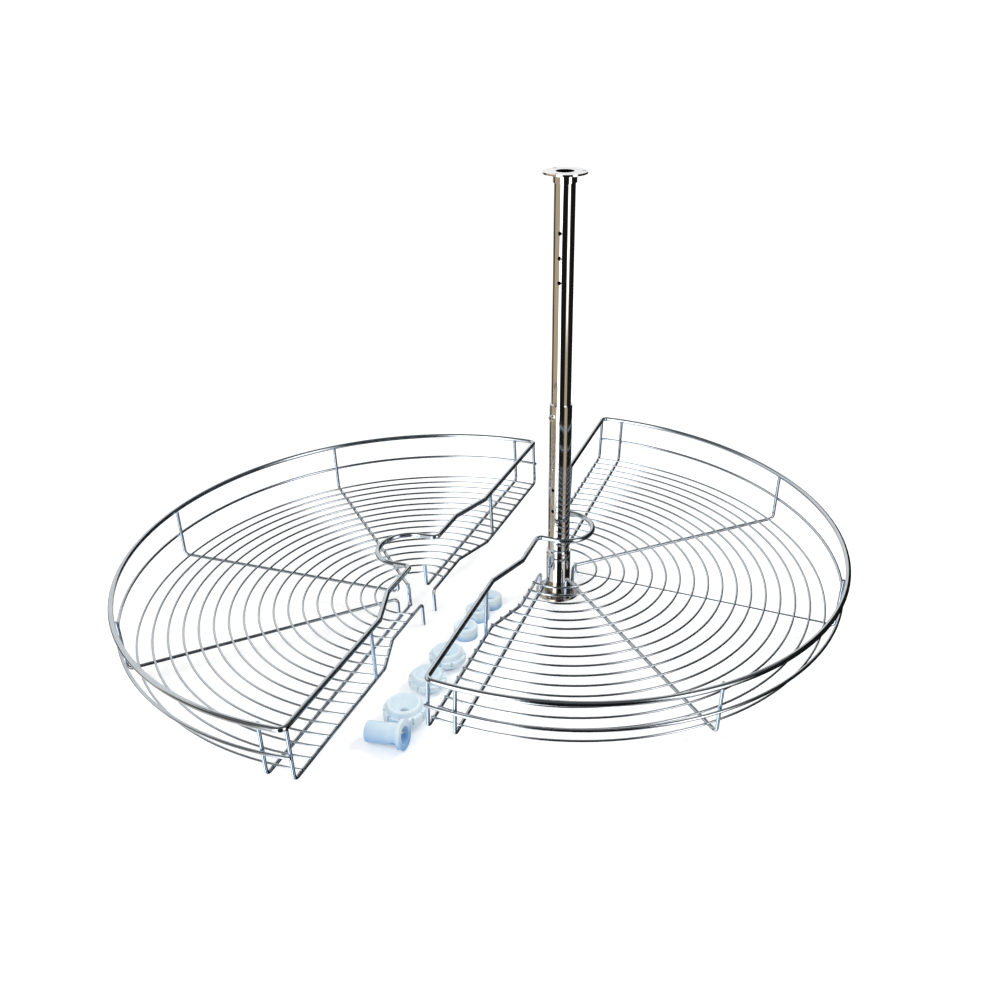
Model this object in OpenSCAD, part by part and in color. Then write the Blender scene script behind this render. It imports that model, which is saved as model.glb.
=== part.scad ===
// Half-moon carousel fitting for a corner cupboard: two wire baskets, a telescopic post
// and a row of loose plastic hub pieces. The post axis is Z and the ground is Z = 0.

/* [Basket] */
// Outer diameter of the basket's rim
rim_d = 820; // [700:5:900]
// Wire diameter of the rim
rim_wire_d = 7.2; // [6:0.1:9]
// Wire diameter of the rail half way up the basket wall
mid_wire_d = 4.4; // [3.5:0.1:6]
// Wire diameter of the floor rings
ring_wire_d = 3; // [2.4:0.1:4]
// Wire diameter of the radial bars, the straight rails and the uprights
bar_wire_d = 4.8; // [4:0.1:6]
// Height of the rim's centreline over the centreline of the bars
basket_depth = 74.5; // [60:0.5:100]
// Height of the middle rail over the centreline of the bars
mid_rail_h = 35; // [25:0.5:45]
// Number of floor rings
ring_count = 17; // [14:1:17]
// Radius of the smallest floor ring
ring_first_r = 57; // [54:0.5:60]
// Distance from the largest floor ring to the bars where they turn up at the wall
ring_edge_gap = 14.1; // [12:0.1:20]
// Distance of the straight side from the basket's axis
side_offset = 41.5; // [36:0.5:46]
// Distance of the straight side from the axis next to the hub
hub_side_offset = 21; // [18:0.5:24]
// Distance from the axis at which the straight side starts to step in
step_outer_x = 177; // [165:1:190]
// Distance from the axis at which the step ends
step_inner_x = 113; // [105:1:125]
// Distance of the inner straight rails from the basket's axis
inner_rail_offset = 6.2; // [4:0.2:8]
// Half width of the rim's loop around the post
loop_r = 43; // [40:0.5:46]
// Distance of the loop's far side from the axis
loop_reach = 47; // [45:0.5:52]
// Distance of the wall's middle uprights from the axis
upright_x = 200; // [190:1:240]
// Angle of the outer radial bars to the straight side
radial_angle = 45; // [35:1:55]
// Slope of the basket floor, falling towards the arc, in degrees
floor_slope = 2; // [0:0.5:3]

/* [Hub end of the bars] */
// Length of the pins that point down at the hub
pin_drop = 35; // [30:0.5:40]
// Length of the radial bars' pins that point down
radial_pin_drop = 33.4; // [28:0.1:33.6]
// Length of the inner rails' pins that point up
pin_rise = 35; // [20:0.5:40]
// Length of the middle radial bar's short pin
short_pin_rise = 17; // [10:0.5:25]
// Distance of the outer rails' pins from the axis, along the straight side
outer_pin_x = 19.5; // [19:0.5:24]
// Distance of the inner rails' pins from the axis
inner_pin_x = 28; // [26:0.5:34]
// Distance of the radial bars' pins from the axis
radial_pin_r = 26; // [25.5:0.5:30]

/* [Bends] */
// Bend radius of the rim's outer corners
corner_r = 9; // [8:0.5:12]
// Bend radius of the rim where it turns into the loop
loop_corner_r = 8; // [6:0.5:10]
// Bend radius of the bars where they turn up or down
bar_bend_r = 7; // [5:0.5:9]

/* [Post] */
// Outer diameter of the lower tube
lower_tube_d = 32; // [31:0.5:34]
// Outer diameter of the upper tube
upper_tube_d = 28; // [26:0.5:28.5]
// Wall of the upper tube
upper_tube_wall = 2; // [1.5:0.25:2.5]
// Height of the lower tube's mouth over the ground
lower_tube_top = 305; // [280:1:330]
// Height of the whole post
post_h = 616; // [580:1:640]
// Length of the upper tube inside the lower tube
tube_overlap = 120; // [100:1:140]
// Radial clearance between the two tubes and between tube and collar
running_gap = 0.05; // [0.03:0.01:0.08]
// Diameter of the cross holes
cross_hole_d = 5.5; // [4.5:0.1:6]
// Distance between the upper tube's cross holes
upper_hole_pitch = 32; // [28:1:34]
// Distance of the first cross hole below the top
upper_hole_drop = 75; // [65:1:80]
// Distance between the lower tube's cross holes
lower_hole_pitch = 34; // [28:1:36]
// Height of the lowest cross hole
lower_hole_h = 142; // [130:1:150]
// Number of cross holes in each tube
cross_hole_count = 3; // [2:1:3]
// Direction of the upper cross holes, in degrees
upper_hole_angle = -115; // [-180:1:180]
// Direction of the lower cross holes, in degrees
lower_hole_angle = -129; // [-180:1:180]

/* [Flanges] */
// Diameter of the bottom flange
base_flange_d = 65; // [64:1:72]
// Thickness of the bottom flange
base_flange_t = 3; // [2.5:0.25:5]
// Height of the bottom flange's boss over the ground
base_boss_h = 24; // [18:1:28]
// Diameter of the boss at its foot
base_boss_d = 41; // [38:0.5:42]
// Wall of the boss at its top
base_boss_wall = 1.6; // [1.2:0.1:2]
// Diameter of the top flange
top_flange_d = 58; // [56:1:64]
// Thickness of the top flange
top_flange_t = 2.5; // [2:0.25:4]
// Length of the top flange's socket
top_socket_l = 11; // [8:0.5:14]
// Wall of the top flange's socket
top_socket_wall = 1.6; // [1.2:0.1:2.2]
// Screw hole diameter in both flanges
screw_hole_d = 4.6; // [4:0.1:5]
// Number of screw holes in each flange
screw_hole_count = 3; // [3:1:4]
// Distance of the screw holes' centres from the flanges' edges
screw_hole_inset = 5; // [4.5:0.25:5.5]

/* [Height screw] */
// Thread diameter of the height screw
height_screw_d = 5; // [4:0.5:6]
// Head diameter of the height screw
height_screw_head_d = 8.5; // [7.5:0.5:10]
// Head height of the height screw
height_screw_head_h = 3; // [2:0.25:4]
// Distance of the height screw below the lower tube's mouth
height_screw_drop = 18; // [14:1:26]
// Direction of the height screw, in degrees
height_screw_angle = -141; // [-180:1:180]
// Width across flats of the height screw's socket
height_screw_key = 3; // [2.5:0.5:4]
// Depth of the height screw's socket
height_screw_key_depth = 1.8; // [1:0.1:2]
// Gap between the height screw's tip and the upper tube
height_screw_gap = 0.1; // [0.05:0.05:0.3]

/* [Collar] */
// Wall of the collar under the right basket
collar_wall = 2; // [1.5:0.1:2.4]
// Length of the collar
collar_l = 49; // [40:1:55]
// Gap between the collar and the bottom flange's boss
collar_seat_gap = 0.3; // [0.2:0.05:0.4]
// Width of the collar's turned grooves
groove_w = 2; // [1:0.25:3]
// Depth of the collar's turned grooves
groove_depth = 0.6; // [0.4:0.1:0.8]
// Distance of the first groove below the collar's top
groove_drop = 4; // [3:0.5:6]
// Distance from one groove to the next
groove_pitch = 10; // [8:0.5:12]

/* [Loose hub pieces] */
// Outer diameter of the large hub piece
hub_d = 54; // [50:1:56]
// Height of the large hub piece
hub_h = 30; // [27:0.5:32]
// Outer diameter of the two middle hub pieces
cup_d = 50; // [46:1:52]
// Height of the two middle hub pieces
cup_h = 25; // [23:0.5:28]
// Outer diameter of the small hub caps
cap_d = 34; // [32:1:36]
// Height of the small hub caps
cap_h = 18; // [16:0.5:22]
// Height of the hub pieces' tapered foot
foot_h = 9; // [7:0.5:10]
// How far the foot of a hub piece stands back from its slotted band
foot_step = 10; // [8:0.5:11]
// Height of a hub piece's rim over its slotted band
shell_rim_h = 8; // [6:0.5:9]
// How far the rim of a hub piece stands back from its slotted band
shell_rim_step = 5; // [4:0.25:6]
// Width of the rim around the funnel in a hub piece's top
shell_rim_w = 4; // [3.5:0.25:5]
// Bore of the hub pieces, for a pin or a screw boss
piece_bore_d = 12; // [10:0.5:14]
// Depth of the funnel in the larger hub pieces
funnel_depth = 14; // [10:0.5:16]
// Depth of the funnel in the small hub caps
cap_funnel_depth = 9; // [7:0.5:11]
// Number of slots around a hub piece
band_slot_count = 10; // [6:1:12]
// Width of the slots in the loose pieces' walls
piece_slot_w = 3; // [2:0.25:4]
// Depth of the slots in the hub pieces' bands
piece_slot_depth = 3.5; // [2:0.25:3.75]
// Body diameter of the flanged bush
bush_d = 27; // [25:0.5:30]
// Body length of the flanged bush
bush_l = 44; // [38:1:50]
// Flange diameter of the flanged bush
bush_flange_d = 38; // [36:0.5:40]
// Flange thickness of the flanged bush
bush_flange_t = 5; // [4:0.5:6]
// Bore of the flanged bush
bush_bore_d = 14; // [12:0.5:16]
// Diameter of the mouth in the bush's flange
bush_mouth_d = 22; // [20:0.5:22.5]
// Depth of the mouth in the bush's flange
bush_mouth_depth = 16; // [12:0.5:20]
// Length of the two slots in the bush's body, next to its flange
bush_slot_l = 9; // [6:0.5:11]
// Distance of the bush's slots from its flange
bush_slot_gap = 2; // [1.5:0.25:3]
// Radius of the soft edges on the loose pieces
piece_edge_r = 3; // [2:0.5:3.5]

/* [Layout] */
// Turn of the right basket about the post, in degrees
right_turn = -109.9; // [-112:0.1:-108]
// Place of the left basket's axis along X
left_x = -210.8; // [-220:0.1:-208]
// Place of the left basket's axis along Y
left_y = -60.8; // [-66:0.1:-58]
// Turn of the left basket, in degrees
left_turn = 68.3; // [66:0.1:70]
// Distance of the large hub piece from the post, along the right basket's straight side
hub_along = 355; // [350:0.5:360]
// Distance of the large hub piece and the next one from the post, across
hub_across = 93; // [90:0.5:95]
// Distance of the third hub piece from the post, across
cup_across = 87.5; // [85:0.5:90]
// Distance of the first two caps from the post, across
cap_across = 89; // [85:0.5:92]
// Distance of the last cap from the post, across
last_cap_across = 83; // [80:0.5:86]
// Gap between the large hub piece and the next one
hub_cup_gap = 20.7; // [15:0.1:25]
// Gap between the two middle hub pieces
cup_gap = 6.3; // [4:0.1:8]
// Gap between the middle hub pieces and the first cap
cup_cap_gap = 29.2; // [20:0.1:32]
// Gap between the first two caps
cap_gap = 13.9; // [8:0.1:15]
// Gap between the last two caps
last_cap_gap = 2.5; // [2:0.1:6]
// Distance from the large hub piece's edge to the bush's middle, along
bush_along_gap = 19; // [17:0.5:22]
// Distance from the large hub piece's middle to the bush's middle, across
bush_across_gap = 5.7; // [5:0.1:8]
// Gap under the right basket's pins, over the bottom flange
pin_seat_gap = 0.3; // [0.2:0.05:0.5]

/* [Hidden] */
// How far welded wires sink into each other
weld = 0.3;
// Overrun of cuts past the faces they open
cut = 1;
// Where the rim's arc ends before the corner, in corner radii
rim_end_share = 1.2;
// How far a ring runs on past the outer rail's centreline
ring_overrun = 1.6;
// Lengths under this count as nothing between two bends
tiny = 0.001;
// Gap between two lengths of a wire that a small ball bridges, and the ball's overmeasure
seam_gap = 0.05;
ball_over = 0.02;

wire_fn = 24;
round_fn = 72;
ring_fn = 144;

rim_r = (rim_d - rim_wire_d) / 2;
wall_r = rim_r - rim_wire_d / 2 - bar_wire_d / 2 + weld;
ring_pitch = (wall_r - ring_edge_gap - ring_first_r) / (ring_count - 1);
mid_r = wall_r + bar_wire_d / 2 + mid_wire_d / 2 - weld;
ring_z = bar_wire_d / 2 + ring_wire_d / 2 - weld;
rim_end_y = side_offset - rim_end_share * corner_r;
rim_end_angle = asin(rim_end_y / rim_r);
rim_end = [rim_r * cos(rim_end_angle), -rim_end_y];
rim_corner_x = rim_end[0] - (side_offset - rim_end_y) * tan(rim_end_angle);
corner_upright_x = sqrt(wall_r * wall_r - side_offset * side_offset);
inner_upright_x = sqrt(wall_r * wall_r - inner_rail_offset * inner_rail_offset);
corner_trim = corner_r * tan((90 - rim_end_angle) / 2);
mid_end_angle = asin((side_offset + bar_wire_d / 2) / mid_r);
left_h = pin_drop * cos(floor_slope) + bar_wire_d / 2 * sin(floor_slope)
    - hub_side_offset * sin(floor_slope);
right_h = left_h + base_flange_t + pin_seat_gap;

lower_tube_bore = upper_tube_d + 2 * running_gap;
upper_tube_bottom = lower_tube_top - tube_overlap;
base_pcd = base_flange_d - 2 * screw_hole_inset;
top_pcd = top_flange_d - 2 * screw_hole_inset;
collar_d = lower_tube_d + 2 * running_gap + 2 * collar_wall;
collar_z = base_boss_h + collar_seat_gap;
bush_lean = atan((bush_flange_d - bush_d) / 2 / bush_l);

// Places of the loose pieces in the right basket's plan
first_cup_along = hub_along - hub_d / 2 - hub_cup_gap - cup_d / 2;
second_cup_along = first_cup_along - cup_d - cup_gap;
first_cap_along = second_cup_along - cup_d / 2 - cup_cap_gap - cap_d / 2;
second_cap_along = first_cap_along - cap_d - cap_gap;
last_cap_along = second_cap_along - cap_d - last_cap_gap;
bush_place = [hub_along + hub_d / 2 + bush_along_gap, -hub_across - bush_across_gap];
cup_places = [[first_cup_along, -hub_across], [second_cup_along, -cup_across]];
cap_places = [[first_cap_along, -cap_across], [second_cap_along, -cap_across],
    [last_cap_along, -last_cap_across]];
// Directions of the first slots of the hub pieces and of the bush, in degrees
hub_slot_angle = 12;
cup_slot_angles = [30, 0];
bush_turn = 92;
bush_slot_angles = [-65, 60];

chrome_colour = [0.78, 0.79, 0.81];
plastic_colour = [0.83, 0.9, 0.95];

function unit(v) = v / norm(v);
function turn_of(p, i) = let (u = unit(p[i] - p[i - 1]), v = unit(p[i + 1] - p[i]))
    acos(max(-1, min(1, u * v)));
function trim_at(p, r, i) = i <= 0 || i >= len(p) - 1 ? 0 : r[i] * tan(turn_of(p, i) / 2);
// Height of the straight side at a distance along it
function side_y(x) = x <= step_inner_x ? -hub_side_offset
    : x >= step_outer_x ? -side_offset
    : -hub_side_offset - (side_offset - hub_side_offset) * (x - step_inner_x)
        / (step_outer_x - step_inner_x);
function along(r, y) = sqrt(r * r - y * y);
function ring_end_y(r) = let (y1 = side_y(r), y2 = side_y(along(r, y1)))
    side_y(along(r, y2));

module bar(a, b, d) {
    v = b - a;
    length = norm(v);
    if (length > tiny)
        translate(a)
            rotate([0, acos(v[2] / length), atan2(v[1], v[0])])
                cylinder(h = length, d = d, $fn = wire_fn);
}

// A round bend at point p, from direction u into direction v
module bend(p, u, v, r, d) {
    angle = acos(max(-1, min(1, u * v)));
    w = unit(v - (v * u) * u);
    c = p - u * r * tan(angle / 2) + w * r;
    n = cross(-w, u);
    multmatrix([[-w[0], u[0], n[0], c[0]], [-w[1], u[1], n[1], c[1]],
        [-w[2], u[2], n[2], c[2]], [0, 0, 0, 1]])
        rotate_extrude(angle = angle, $fn = ring_fn)
            translate([r, 0])
                circle(d = d, $fn = wire_fn);
}

// The ball that bridges the gap between two lengths of wire, reach from its centre
module bridge(p, reach, d) {
    translate(p)
        sphere(r = sqrt(d * d / 4 + reach * reach) + ball_over, $fn = wire_fn);
}

// How far a length of wire stops short of point i: a bend, or a kink where r is 0
function short_at(p, r, i, d) = i == 0 || i == len(p) - 1 ? 0
    : r[i] > 0 ? trim_at(p, r, i) : d / 2 * tan(turn_of(p, i) / 2) + seam_gap;

// A wire through points p with bend radii r; a radius of 0 is a kink with a ball in it
module wire(p, r, d) {
    for (i = [0 : len(p) - 2]) {
        u = unit(p[i + 1] - p[i]);
        bar(p[i] + u * short_at(p, r, i, d), p[i + 1] - u * short_at(p, r, i + 1, d), d);
    }
    for (i = [1 : len(p) - 2])
        if (r[i] > 0)
            bend(p[i], unit(p[i] - p[i - 1]), unit(p[i + 1] - p[i]), r[i], d);
        else
            bridge(p[i], short_at(p, r, i, d), d);
}

// A round wire about the axis at height z, past the half circle by over at both ends
module arc_wire(r, z, d, over) {
    translate([0, 0, z])
        rotate([0, 0, -over])
            rotate_extrude(angle = 180 + 2 * over, $fn = ring_fn)
                translate([r, 0])
                    circle(d = d, $fn = wire_fn);
}

module rim_arc() {
    arc_wire(rim_r, basket_depth, rim_wire_d, rim_end_angle);
}

module mid_rail() {
    arc_wire(mid_r, mid_rail_h, mid_wire_d, mid_end_angle);
}

module floor_rings() {
    for (i = [0 : ring_count - 1]) {
        r = ring_first_r + i * ring_pitch;
        arc_wire(r, ring_z, ring_wire_d, asin((ring_overrun - ring_end_y(r)) / r));
    }
}

// The bent outer corner of the rim, between the arc and the straight side
module rim_corner(side) {
    p = [side * rim_end[0], rim_end[1], basket_depth];
    c = [side * rim_corner_x, -side_offset, basket_depth];
    u = unit(c - p);
    v = [-side, 0, 0];
    bar(p, c - u * (corner_trim + seam_gap), rim_wire_d);
    bridge(c - u * corner_trim, seam_gap, rim_wire_d);
    bend(c, u, v, corner_r, rim_wire_d);
    bridge(c + v * corner_trim, seam_gap, rim_wire_d);
}

module rim_front() {
    z = basket_depth;
    x = rim_corner_x - corner_trim - seam_gap;
    y = loop_reach - loop_r;
    for (side = [-1, 1]) {
        rim_corner(side);
        wire([[side * x, -side_offset, z], [side * step_outer_x, -side_offset, z],
            [side * step_inner_x, -hub_side_offset, z],
            [side * loop_r, -hub_side_offset, z], [side * loop_r, y, z]],
            [0, 0, 0, loop_corner_r, 0], rim_wire_d);
    }
    translate([0, y, z])
        rotate_extrude(angle = 180, $fn = ring_fn)
            translate([loop_r, 0])
                circle(d = rim_wire_d, $fn = wire_fn);
}

// A radial bar whose hub end turns by rise, downwards if rise is negative
module radial(angle, rise) {
    rotate([0, 0, angle])
        wire([[radial_pin_r, 0, rise], [radial_pin_r, 0, 0], [wall_r, 0, 0],
            [wall_r, 0, basket_depth]], [0, bar_bend_r, bar_bend_r, 0], bar_wire_d);
}

module inner_rail(side) {
    y = -inner_rail_offset;
    wire([[side * inner_pin_x, y, pin_rise], [side * inner_pin_x, y, 0],
        [side * inner_upright_x, y, 0], [side * inner_upright_x, y, basket_depth]],
        [0, bar_bend_r, bar_bend_r, 0], bar_wire_d);
}

module outer_rail(side) {
    wire([[side * outer_pin_x, -hub_side_offset, -pin_drop],
        [side * outer_pin_x, -hub_side_offset, 0],
        [side * step_inner_x, -hub_side_offset, 0],
        [side * step_outer_x, -side_offset, 0],
        [side * corner_upright_x, -side_offset, 0],
        [side * corner_upright_x, -side_offset, basket_depth - rim_wire_d / 2 + weld]],
        [0, bar_bend_r, 0, 0, bar_bend_r, 0], bar_wire_d);
}

module uprights() {
    for (side = [-1, 1])
        bar([side * upright_x, -side_offset, bar_wire_d / 2 - weld],
            [side * upright_x, -side_offset, basket_depth - rim_wire_d / 2 + weld],
            bar_wire_d);
}

module on_left() {
    color(chrome_colour)
        translate([left_x, left_y, left_h])
            rotate([0, 0, left_turn])
                rotate([-floor_slope, 0, 0])
                    children();
}

module on_right() {
    color(chrome_colour)
        translate([0, 0, right_h])
            rotate([0, 0, right_turn])
                rotate([-floor_slope, 0, 0])
                    children();
}

// Screw holes of a flange, cut through from z = 0 up
module screw_holes(pcd, t) {
    for (i = [0 : screw_hole_count - 1])
        rotate([0, 0, i * 360 / screw_hole_count])
            translate([pcd / 2, 0, -cut])
                cylinder(h = t + 2 * cut, d = screw_hole_d, $fn = round_fn);
}

module base_flange() {
    color(chrome_colour)
        difference() {
            union() {
                cylinder(h = base_flange_t, d = base_flange_d, $fn = round_fn);
                cylinder(h = base_boss_h, d1 = base_boss_d,
                    d2 = lower_tube_d + 2 * base_boss_wall, $fn = round_fn);
            }
            translate([0, 0, base_flange_t])
                cylinder(h = base_boss_h, d = lower_tube_d, $fn = round_fn);
            screw_holes(base_pcd, base_flange_t);
        }
}

module cross_hole(d, z, angle) {
    translate([0, 0, z])
        rotate([0, 90, angle])
            cylinder(h = d / 2 + cut, d = cross_hole_d, $fn = wire_fn);
}

module lower_tube() {
    color(chrome_colour)
        difference() {
            translate([0, 0, base_flange_t])
                cylinder(h = lower_tube_top - base_flange_t, d = lower_tube_d,
                    $fn = round_fn);
            translate([0, 0, base_flange_t - cut])
                cylinder(h = lower_tube_top + 2 * cut, d = lower_tube_bore,
                    $fn = round_fn);
            for (i = [0 : cross_hole_count - 1])
                cross_hole(lower_tube_d, lower_hole_h + i * lower_hole_pitch,
                    lower_hole_angle);
            translate([0, 0, lower_tube_top - height_screw_drop])
                rotate([0, 90, height_screw_angle])
                    cylinder(h = lower_tube_d / 2 + cut, d = height_screw_d,
                        $fn = wire_fn);
        }
}

module height_screw() {
    tip = upper_tube_d / 2 + height_screw_gap;
    seat = lower_tube_d / 2;
    color(chrome_colour)
        translate([0, 0, lower_tube_top - height_screw_drop])
            rotate([0, 90, height_screw_angle])
                difference() {
                    union() {
                        translate([0, 0, tip])
                            cylinder(h = seat + height_screw_head_h - tip,
                                d = height_screw_d, $fn = wire_fn);
                        translate([0, 0, seat])
                            cylinder(h = height_screw_head_h, d = height_screw_head_d,
                                $fn = wire_fn);
                    }
                    translate([0, 0, seat + height_screw_head_h - height_screw_key_depth])
                        cylinder(h = height_screw_key_depth + cut,
                            d = height_screw_key / cos(30), $fn = 6);
                }
}

module upper_tube() {
    top = post_h - top_flange_t;
    color(chrome_colour)
        difference() {
            translate([0, 0, upper_tube_bottom])
                cylinder(h = top - upper_tube_bottom, d = upper_tube_d, $fn = round_fn);
            translate([0, 0, upper_tube_bottom - cut])
                cylinder(h = top - upper_tube_bottom + 2 * cut,
                    d = upper_tube_d - 2 * upper_tube_wall, $fn = round_fn);
            for (i = [0 : cross_hole_count - 1])
                cross_hole(upper_tube_d, post_h - upper_hole_drop - i * upper_hole_pitch,
                    upper_hole_angle);
        }
}

module top_flange() {
    color(chrome_colour)
        difference() {
            union() {
                translate([0, 0, post_h - top_flange_t])
                    cylinder(h = top_flange_t, d = top_flange_d, $fn = round_fn);
                translate([0, 0, post_h - top_flange_t - top_socket_l])
                    cylinder(h = top_socket_l, d = upper_tube_d + 2 * top_socket_wall,
                        $fn = round_fn);
            }
            translate([0, 0, post_h - top_flange_t - top_socket_l - cut])
                cylinder(h = top_socket_l + cut, d = upper_tube_d, $fn = round_fn);
            translate([0, 0, post_h - top_flange_t - cut])
                cylinder(h = top_flange_t + 2 * cut,
                    d = upper_tube_d - 2 * upper_tube_wall, $fn = round_fn);
            translate([0, 0, post_h - top_flange_t])
                screw_holes(top_pcd, top_flange_t);
        }
}

module collar() {
    color(chrome_colour)
        translate([0, 0, collar_z])
            difference() {
                cylinder(h = collar_l, d = collar_d, $fn = round_fn);
                translate([0, 0, -cut])
                    cylinder(h = collar_l + 2 * cut, d = lower_tube_d + 2 * running_gap,
                        $fn = round_fn);
                for (i = [0 : 1])
                    translate([0, 0, collar_l - groove_drop - groove_w
                        - i * groove_pitch])
                        difference() {
                            cylinder(h = groove_w, d = collar_d + 2 * cut,
                                $fn = round_fn);
                            translate([0, 0, -cut])
                                cylinder(h = groove_w + 2 * cut,
                                    d = collar_d - 2 * groove_depth, $fn = round_fn);
                        }
            }
}

// A turned body with soft upper edge, of diameter d and height h
module soft_disc(d, h, edge) {
    rotate_extrude($fn = round_fn)
        union() {
            square([d / 2 - edge, h]);
            square([d / 2, h - edge]);
            translate([d / 2 - edge, h - edge])
                intersection() {
                    circle(r = edge, $fn = wire_fn);
                    square([edge, edge]);
                }
        }
}

module place_piece(place) {
    rotate([0, 0, right_turn])
        translate([place[0], place[1], 0])
            children();
}

// A funnel from the top of a piece of height h down to its bore, and the bore
module funnel(d, h, depth) {
    translate([0, 0, h - depth])
        cylinder(h = depth, d1 = piece_bore_d, d2 = d, $fn = round_fn);
    translate([0, 0, h])
        cylinder(h = cut, d = d, $fn = round_fn);
    translate([0, 0, -cut])
        cylinder(h = h + cut, d = piece_bore_d, $fn = round_fn);
}

// A hub piece with a tapered foot, a slotted band, a soft rim and a funnel
module hub_shell(d, h, slot_angle) {
    band_h = h - foot_h - shell_rim_h;
    rim_top_d = d - 2 * shell_rim_step;
    color(plastic_colour)
        difference() {
            union() {
                cylinder(h = foot_h, d1 = d - 2 * foot_step, d2 = rim_top_d,
                    $fn = round_fn);
                translate([0, 0, foot_h])
                    cylinder(h = band_h, d = d, $fn = round_fn);
                translate([0, 0, foot_h + band_h])
                    soft_disc(rim_top_d, shell_rim_h, piece_edge_r);
            }
            funnel(rim_top_d - 2 * shell_rim_w, h, funnel_depth);
            for (i = [0 : band_slot_count - 1])
                rotate([0, 0, slot_angle + i * 360 / band_slot_count])
                    translate([d / 2 - piece_slot_depth, -piece_slot_w / 2,
                        foot_h + band_h / 4])
                        cube([piece_slot_depth + cut, piece_slot_w, band_h]);
        }
}

module large_hub() {
    place_piece([hub_along, -hub_across])
        hub_shell(hub_d, hub_h, hub_slot_angle);
}

module hub_cups() {
    for (i = [0 : len(cup_places) - 1])
        place_piece(cup_places[i])
            hub_shell(cup_d, cup_h, cup_slot_angles[i]);
}

module hub_caps() {
    color(plastic_colour)
        for (place = cap_places)
            place_piece(place)
                difference() {
                    soft_disc(cap_d, cap_h, piece_edge_r);
                    funnel(cap_d - 2 * piece_edge_r - shell_rim_w, cap_h,
                        cap_funnel_depth);
                }
}

module flanged_bush() {
    color(plastic_colour)
        place_piece(bush_place)
            rotate([0, 0, bush_turn])
                translate([-bush_l / 2, 0, bush_d / 2 * cos(bush_lean)])
                    rotate([0, 90 - bush_lean, 0])
                        difference() {
                            union() {
                                cylinder(h = bush_l, d = bush_d, $fn = round_fn);
                                translate([0, 0, bush_l])
                                    cylinder(h = bush_flange_t, d = bush_flange_d,
                                        $fn = round_fn);
                            }
                            translate([0, 0, -cut])
                                cylinder(h = bush_l + bush_flange_t + 2 * cut,
                                    d = bush_bore_d, $fn = round_fn);
                            translate([0, 0, bush_l + bush_flange_t - bush_mouth_depth])
                                cylinder(h = bush_mouth_depth + cut, d = bush_mouth_d,
                                    $fn = round_fn);
                            for (angle = bush_slot_angles)
                                rotate([0, 0, angle])
                                    translate([bush_mouth_d / 2 - cut, -piece_slot_w / 2,
                                        bush_l - bush_slot_gap - bush_slot_l])
                                        cube([bush_d / 2, piece_slot_w, bush_slot_l]);
                        }
}

module left_rim_arc() { on_left() rim_arc(); }
module left_rim_front() { on_left() rim_front(); }
module left_mid_rail() { on_left() mid_rail(); }
module left_floor_rings() { on_left() floor_rings(); }
module left_radial_a() { on_left() radial(radial_angle, -radial_pin_drop); }
module left_radial_b() { on_left() radial(90, short_pin_rise); }
module left_radial_c() { on_left() radial(180 - radial_angle, -radial_pin_drop); }
module left_inner_rail_a() { on_left() inner_rail(1); }
module left_inner_rail_b() { on_left() inner_rail(-1); }
module left_outer_rail_a() { on_left() outer_rail(1); }
module left_outer_rail_b() { on_left() outer_rail(-1); }
module left_uprights() { on_left() uprights(); }

module right_rim_arc() { on_right() rim_arc(); }
module right_rim_front() { on_right() rim_front(); }
module right_mid_rail() { on_right() mid_rail(); }
module right_floor_rings() { on_right() floor_rings(); }
module right_radial_a() { on_right() radial(radial_angle, -radial_pin_drop); }
module right_radial_b() { on_right() radial(90, short_pin_rise); }
module right_radial_c() { on_right() radial(180 - radial_angle, -radial_pin_drop); }
module right_inner_rail_a() { on_right() inner_rail(1); }
module right_inner_rail_b() { on_right() inner_rail(-1); }
module right_outer_rail_a() { on_right() outer_rail(1); }
module right_outer_rail_b() { on_right() outer_rail(-1); }
module right_uprights() { on_right() uprights(); }

base_flange();
lower_tube();
height_screw();
upper_tube();
top_flange();
collar();
left_rim_arc();
left_rim_front();
left_mid_rail();
left_floor_rings();
left_radial_a();
left_radial_b();
left_radial_c();
left_inner_rail_a();
left_inner_rail_b();
left_outer_rail_a();
left_outer_rail_b();
left_uprights();
right_rim_arc();
right_rim_front();
right_mid_rail();
right_floor_rings();
right_radial_a();
right_radial_b();
right_radial_c();
right_inner_rail_a();
right_inner_rail_b();
right_outer_rail_a();
right_outer_rail_b();
right_uprights();
flanged_bush();
large_hub();
hub_cups();
hub_caps();
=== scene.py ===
import bpy
import bmesh
import math
from mathutils import Matrix, Vector

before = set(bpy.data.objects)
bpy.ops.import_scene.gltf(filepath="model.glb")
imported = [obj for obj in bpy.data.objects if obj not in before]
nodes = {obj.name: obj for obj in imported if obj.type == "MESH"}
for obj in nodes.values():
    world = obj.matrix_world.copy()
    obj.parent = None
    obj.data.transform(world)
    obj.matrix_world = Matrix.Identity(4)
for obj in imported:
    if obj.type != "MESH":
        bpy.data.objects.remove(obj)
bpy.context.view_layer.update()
scene = bpy.context.scene
print("frame loaded:", len(nodes), "pieces")


# small node helpers
def newMaterial(name):
    mat = bpy.data.materials.new(name)
    mat.use_nodes = True
    return mat, mat.node_tree, mat.node_tree.nodes["Principled BSDF"]


def addNode(tree, kind, **settings):
    node = tree.nodes.new(kind)
    for key, value in settings.items():
        setattr(node, key, value)
    return node


def noiseOn(tree, scale, detail=3.0):
    coords = addNode(tree, "ShaderNodeTexCoord")
    noise = addNode(tree, "ShaderNodeTexNoise")
    noise.inputs["Scale"].default_value = scale
    noise.inputs["Detail"].default_value = detail
    tree.links.new(coords.outputs["Object"], noise.inputs["Vector"])
    return noise.outputs["Fac"]


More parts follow.
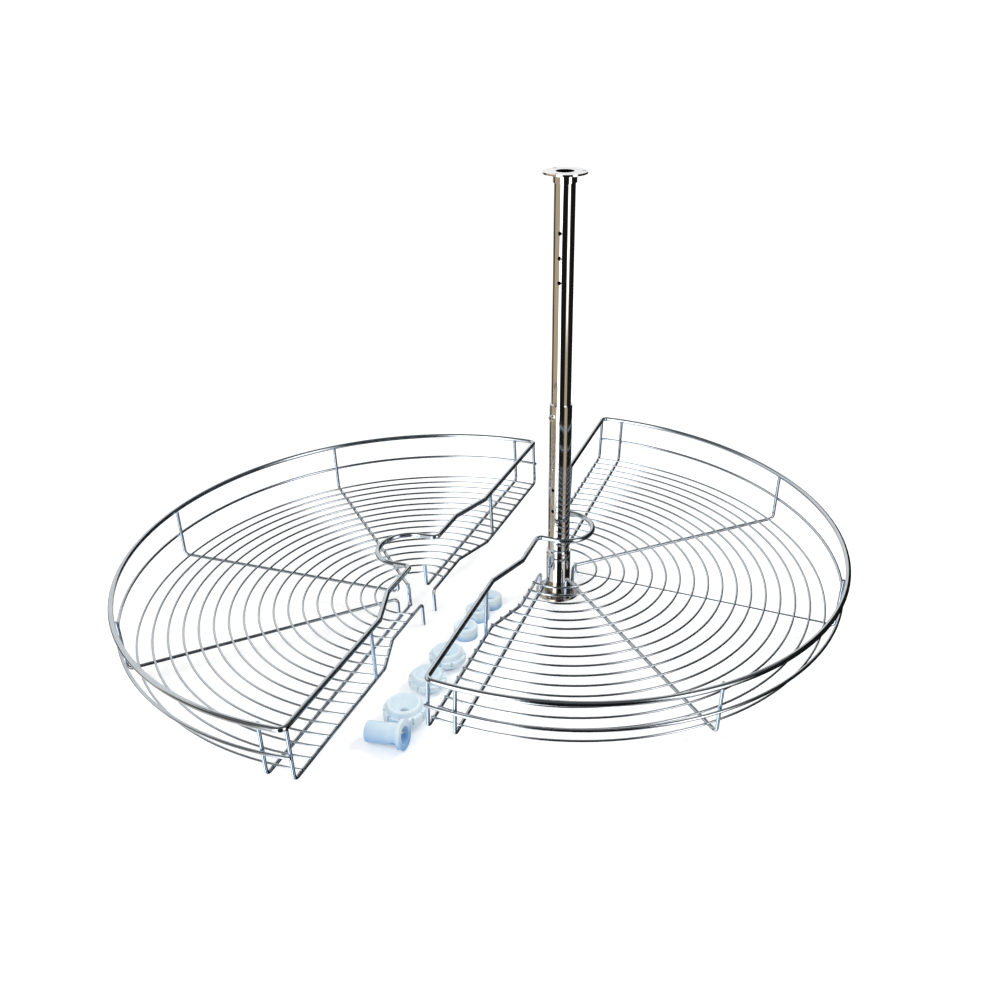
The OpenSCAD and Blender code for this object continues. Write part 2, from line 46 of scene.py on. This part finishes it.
# a stop's tone is one grey value or a colour
def rampOf(tree, source, stops):
    ramp = addNode(tree, "ShaderNodeValToRGB")
    elements = ramp.color_ramp.elements
    while len(elements) < len(stops):
        elements.new(0.5)
    for element, (at, tone) in zip(elements, stops):
        element.position = at
        element.color = (tone, tone, tone, 1) if isinstance(tone, float) else (*tone, 1)
    tree.links.new(source, ramp.inputs["Fac"])
    return ramp.outputs["Color"]


# runs from one result to the other while the value runs between the ends
def reachOf(tree, value, ends, results=(0.0, 1.0)):
    reach = addNode(tree, "ShaderNodeMapRange")
    reach.inputs["From Min"].default_value, reach.inputs["From Max"].default_value = ends
    reach.inputs["To Min"].default_value, reach.inputs["To Max"].default_value = results
    tree.links.new(value, reach.inputs["Value"])
    return reach.outputs["Result"]


def mixTones(tree, first, second, share):
    mix = addNode(tree, "ShaderNodeMix", data_type="RGBA")
    for socket, tone in ((mix.inputs[6], first), (mix.inputs[7], second)):
        if isinstance(tone, tuple):
            socket.default_value = (*tone, 1)
        else:
            tree.links.new(tone, socket)
    tree.links.new(share, mix.inputs["Factor"])
    return mix.outputs[2]


def splitAxes(tree, vector):
    split = addNode(tree, "ShaderNodeSeparateXYZ")
    tree.links.new(vector, split.inputs["Vector"])
    return [split.outputs[axis] for axis in "XYZ"]


def bumpFrom(tree, shader, source, strength, distance):
    bump = addNode(tree, "ShaderNodeBump")
    bump.inputs["Strength"].default_value = strength
    bump.inputs["Distance"].default_value = distance
    tree.links.new(source, bump.inputs["Height"])
    tree.links.new(bump.outputs["Normal"], shader.inputs["Normal"])


# plating with drawing marks and faint clouding
wireFinish = {
    "tone": [(0.3, (0.49, 0.535, 0.57)), (0.75, (0.57, 0.61, 0.645))],
    "rough": [(0.25, 0.07), (0.8, 0.15)],
    "cloudScale": 34,
    "rippleScale": 220,
    "rippleDepth": 0.0002,
    # painted reflection: wire surfaces whose normal lies near the level get a bluer base colour, by
    # how far the surface normal is off the level
    "uprightReflectionTint": [(0.3, (0.5, 0.62, 0.8)), (0.75, (0.56, 0.69, 0.88))],
    "uprightReflectionReach": (0.06, 0.2),
}
tubeFinish = {
    "tone": [(0.3, (0.74, 0.745, 0.755)), (0.75, (0.82, 0.825, 0.835))],
    "rough": [(0.25, 0.035), (0.8, 0.08)],
    "cloudScale": 12,
    "rippleScale": 60,
    "rippleDepth": 0.0001,
}
# the bottom flange: darker and warmer than the tubes
footFinish = {
    "tone": [(0.3, (0.36, 0.335, 0.295)), (0.75, (0.46, 0.43, 0.385))],
    "rough": [(0.25, 0.1), (0.8, 0.2)],
    "cloudScale": 12,
    "rippleScale": 60,
    "rippleDepth": 0.0001,
}
rippleStrength = 0.25


def makeChrome(name, finish):
    mat, tree, shader = newMaterial(name)
    shader.inputs["Metallic"].default_value = 1.0
    cloud = noiseOn(tree, finish["cloudScale"])
    colour = rampOf(tree, cloud, finish["tone"])
    # painted reflection: a bluer tone on wire surfaces that face sideways, mixed in by the slope of
    # the true normal
    if "uprightReflectionTint" in finish:
        geometry = addNode(tree, "ShaderNodeNewGeometry")
        slope = addNode(tree, "ShaderNodeMath", operation="ABSOLUTE")
        tree.links.new(splitAxes(tree, geometry.outputs["True Normal"])[2], slope.inputs[0])
        upright = rampOf(tree, cloud, finish["uprightReflectionTint"])
        level = reachOf(tree, slope.outputs["Value"], finish["uprightReflectionReach"])
        colour = mixTones(tree, upright, colour, level)
    tree.links.new(colour, shader.inputs["Base Color"])
    tree.links.new(rampOf(tree, cloud, finish["rough"]), shader.inputs["Roughness"])
    ripple = noiseOn(tree, finish["rippleScale"], detail=2.0)
    bumpFrom(tree, shader, ripple, rippleStrength, finish["rippleDepth"])
    return mat


wireChrome = makeChrome("wireChrome", wireFinish)
tubeChrome = makeChrome("tubeChrome", tubeFinish)
footChrome = makeChrome("footChrome", footFinish)

# moulded plastic of the loose hub pieces
plastic = {
    "tone": [(0.35, (0.765, 0.9, 0.99)), (0.7, (0.845, 0.945, 1.0))],
    "shadeTone": [(0.35, (0.26, 0.5, 0.82)), (0.7, (0.34, 0.57, 0.86))],
    # heights over which the painted shade, a darker blue towards the bottom, gives way to the plain
    # tone: the bush lies on its side
    "hubShade": (0.0, 0.011),
    "bushShade": (0.011, 0.033),
    "rough": [(0.3, 0.32), (0.75, 0.46)],
    "cloudScale": 70,
    # light that soaks in, by colour and by depth
    "glow": 0.25,
    "glowRadius": (0.5, 0.8, 1.0),
    "glowDepth": 0.004,
    "grainScale": 900,
    "grainStrength": 0.2,
    "grainDepth": 0.00015,
}


def makePlastic(name, shadeReach):
    mat, tree, shader = newMaterial(name)
    cloud = noiseOn(tree, plastic["cloudScale"])
    coords = addNode(tree, "ShaderNodeTexCoord")
    # painted shade: the base colour turns to a darker blue towards the bottom of each piece
    height = reachOf(tree, splitAxes(tree, coords.outputs["Object"])[2], shadeReach)
    tone = rampOf(tree, cloud, plastic["tone"])
    shade = rampOf(tree, cloud, plastic["shadeTone"])
    tree.links.new(mixTones(tree, shade, tone, height), shader.inputs["Base Color"])
    tree.links.new(rampOf(tree, cloud, plastic["rough"]), shader.inputs["Roughness"])
    shader.inputs["Subsurface Weight"].default_value = plastic["glow"]
    shader.inputs["Subsurface Radius"].default_value = plastic["glowRadius"]
    shader.inputs["Subsurface Scale"].default_value = plastic["glowDepth"]
    grain = noiseOn(tree, plastic["grainScale"], detail=2.0)
    bumpFrom(tree, shader, grain, plastic["grainStrength"], plastic["grainDepth"])
    return mat


hubPlastic = makePlastic("hubPlastic", plastic["hubShade"])
bushPlastic = makePlastic("bushPlastic", plastic["bushShade"])

# which piece has which finish: whatever isn't named here is wire
finishes = {"base_flange": footChrome, "flanged_bush": bushPlastic}
for name in ("large_hub", "hub_cups", "hub_caps"):
    finishes[name] = hubPlastic
for name in ("lower_tube", "height_screw", "upper_tube", "top_flange", "collar"):
    finishes[name] = tubeChrome
for name, piece in nodes.items():
    piece.data.materials.clear()
    piece.data.materials.append(finishes.get(name, wireChrome))
print("materials on", len(nodes), "pieces")

paleFloor = {
    "halfSize": 40.0,
    "tone": 0.9,
    # glow by distance from the post, so that the floor stays white out to the horizon
    "glow": (0.29, 0.5),
    "glowReach": (0.6, 1.6),
}


def makeFloor():
    bm = bmesh.new()
    bmesh.ops.create_grid(bm, x_segments=1, y_segments=1, size=paleFloor["halfSize"])
    mesh = bpy.data.meshes.new("floor")
    bm.to_mesh(mesh)
    bm.free()
    floor = bpy.data.objects.new("floor", mesh)
    scene.collection.objects.link(floor)
    floor.visible_glossy = False  # polished metal sees the world instead
    mat, tree, shader = newMaterial("paleFloor")
    tree.nodes.remove(shader)
    diffuse = addNode(tree, "ShaderNodeBsdfDiffuse")
    diffuse.inputs["Color"].default_value = (*[paleFloor["tone"]] * 3, 1)
    coords = addNode(tree, "ShaderNodeTexCoord")
    away = addNode(tree, "ShaderNodeVectorMath", operation="LENGTH")
    tree.links.new(coords.outputs["Object"], away.inputs[0])
    strength = reachOf(tree, away.outputs["Value"], paleFloor["glowReach"], paleFloor["glow"])
    glow = addNode(tree, "ShaderNodeEmission")
    tree.links.new(strength, glow.inputs["Strength"])
    both = addNode(tree, "ShaderNodeAddShader")
    tree.links.new(diffuse.outputs["BSDF"], both.inputs[0])
    tree.links.new(glow.outputs["Emission"], both.inputs[1])
    # the glow is for the camera alone and lights nothing
    path = addNode(tree, "ShaderNodeLightPath")
    seen = addNode(tree, "ShaderNodeMixShader")
    tree.links.new(path.outputs["Is Camera Ray"], seen.inputs["Fac"])
    tree.links.new(diffuse.outputs["BSDF"], seen.inputs[1])
    tree.links.new(both.outputs["Shader"], seen.inputs[2])
    tree.links.new(seen.outputs["Shader"], tree.nodes["Material Output"].inputs["Surface"])
    mesh.materials.append(mat)


makeFloor()

worldLight = 0.66

# polished metal shows the white background, with a few plain soft boxes and flags in it
backgroundTone = (1.0, 1.0, 1.0)
cardTones = {
    "softBox": (3.0, 3.0, 3.0),
    "flag": (0.01, 0.01, 0.01),
    "greyFlag": (0.12, 0.12, 0.12),
    "warmBoard": (0.5, 0.4, 0.27),
    "paleBoard": (0.85, 0.85, 0.85),
}
# how far each card reaches: round the object in degrees from +X, where 200 is past the seam
# at 180, and in height as the sine above the horizon
cards = [
    {"tone": "warmBoard", "around": (-200, 200), "height": (-0.52, -0.05)},
    {"tone": "paleBoard", "around": (88, 122), "height": (-0.52, -0.05)},
    {"tone": "flag", "around": (136, 160), "height": (-0.52, -0.05)},
    {"tone": "greyFlag", "around": (-200, -140), "height": (-0.05, 0.7)},
    {"tone": "softBox", "around": (-135, -107), "height": (-1.1, 0.72)},
    {"tone": "flag", "around": (-105, -55), "height": (-1.1, 0.72)},
    {"tone": "softBox", "around": (-50, -32), "height": (-0.3, 0.72)},
    {"tone": "flag", "around": (-25, 70), "height": (-1.1, 0.72)},
    {"tone": "greyFlag", "around": (-200, 200), "height": (0.72, 1.1)},
]
cardEdge = {"around": 4.0, "height": 0.03}


# how much of a direction one card covers
def cardShare(tree, turn, height, card):
    sides = []
    for value, key in ((turn, "around"), (height, "height")):
        low, high = card[key]
        edge = cardEdge[key]
        sides.append(reachOf(tree, value, (low - edge, low + edge)))
        sides.append(reachOf(tree, value, (high + edge, high - edge)))
    share = sides[0]
    for side in sides[1:]:
        both = addNode(tree, "ShaderNodeMath", operation="MULTIPLY")
        tree.links.new(share, both.inputs[0])
        tree.links.new(side, both.inputs[1])
        share = both.outputs["Value"]
    return share


def studioTone(tree):
    coords = addNode(tree, "ShaderNodeTexCoord")
    x, y, height = splitAxes(tree, coords.outputs["Generated"])
    turn = addNode(tree, "ShaderNodeMath", operation="ARCTAN2")
    tree.links.new(y, turn.inputs[0])
    tree.links.new(x, turn.inputs[1])
    degrees = reachOf(tree, turn.outputs["Value"], (-math.pi, math.pi), (-180, 180))
    tone = backgroundTone
    for card in cards:
        tone = mixTones(tree, tone, cardTones[card["tone"]], cardShare(tree, degrees, height, card))
    return tone


def addBackground(tree, strength=1.0):
    background = addNode(tree, "ShaderNodeBackground")
    background.inputs["Color"].default_value = (1, 1, 1, 1)
    background.inputs["Strength"].default_value = strength
    return background


def makeWorld():
    world = bpy.data.worlds.new("studioWorld")
    scene.world = world
    world.use_nodes = True
    tree = world.node_tree
    tree.nodes.clear()
    out = addNode(tree, "ShaderNodeOutputWorld")
    light = addBackground(tree, worldLight)
    shown = addBackground(tree)
    tree.links.new(studioTone(tree), shown.inputs["Color"])
    white = addBackground(tree)
    # white with the cards for glossy rays, white for camera and transmission rays, else the light
    path = addNode(tree, "ShaderNodeLightPath")
    glossy = addNode(tree, "ShaderNodeMixShader")
    tree.links.new(path.outputs["Is Glossy Ray"], glossy.inputs["Fac"])
    tree.links.new(light.outputs["Background"], glossy.inputs[1])
    tree.links.new(shown.outputs["Background"], glossy.inputs[2])
    seen = addNode(tree, "ShaderNodeMath", operation="MAXIMUM")
    tree.links.new(path.outputs["Is Camera Ray"], seen.inputs[0])
    tree.links.new(path.outputs["Is Transmission Ray"], seen.inputs[1])
    final = addNode(tree, "ShaderNodeMixShader")
    tree.links.new(seen.outputs["Value"], final.inputs["Fac"])
    tree.links.new(glossy.outputs["Shader"], final.inputs[1])
    tree.links.new(white.outputs["Background"], final.inputs[2])
    tree.links.new(final.outputs["Shader"], out.inputs["Surface"])


makeWorld()

# soft round lamps: from the right, from the front left, and a weak one from behind
lamps = [
    {"place": (1.5, 0.5, 2.2), "size": 0.8, "power": 23.0},
    {"place": (-1.3, -1.6, 2.3), "size": 1.3, "power": 19.0},
    {"place": (-0.2, 1.9, 2.2), "size": 1.4, "power": 4.0},
]
lampTarget = Vector((-0.1, 0, 0.1))

for i, values in enumerate(lamps):
    lamp = bpy.data.lights.new("softLamp%d" % i, "AREA")
    lamp.shape = "DISK"
    lamp.size = values["size"]
    lamp.energy = values["power"]
    lampObject = bpy.data.objects.new("softLamp%d" % i, lamp)
    scene.collection.objects.link(lampObject)
    aim = lampTarget - Vector(values["place"])
    turn = aim.to_track_quat("-Z", "Y").to_matrix().to_4x4()
    lampObject.matrix_world = Matrix.Translation(values["place"]) @ turn
    lampObject.visible_glossy = False
print("studio ready")

# camera where the photograph was taken from
view = {
    "place": (-0.08565, -1.3517, 0.85739),
    "pitch": 27.447,
    "roll": -0.653,
    "lens": 37.917,
    "sensor": 36.0,
}


def makeCamera():
    pitch, roll = math.radians(view["pitch"]), math.radians(view["roll"])
    flatRight = Vector((1, 0, 0))
    flatUp = Vector((0, math.sin(pitch), math.cos(pitch)))
    ahead = Vector((0, math.cos(pitch), -math.sin(pitch)))
    camRight = math.cos(roll) * flatRight + math.sin(roll) * flatUp
    camUp = -math.sin(roll) * flatRight + math.cos(roll) * flatUp
    camData = bpy.data.cameras.new("photoCamera")
    camData.sensor_width = view["sensor"]
    camData.lens = view["lens"]
    camera = bpy.data.objects.new("photoCamera", camData)
    scene.collection.objects.link(camera)
    turn = Matrix((camRight, camUp, -ahead)).transposed().to_4x4()
    camera.matrix_world = Matrix.Translation(view["place"]) @ turn
    scene.camera = camera


makeCamera()
scene.view_settings.view_transform = "Standard"
print("camera set")
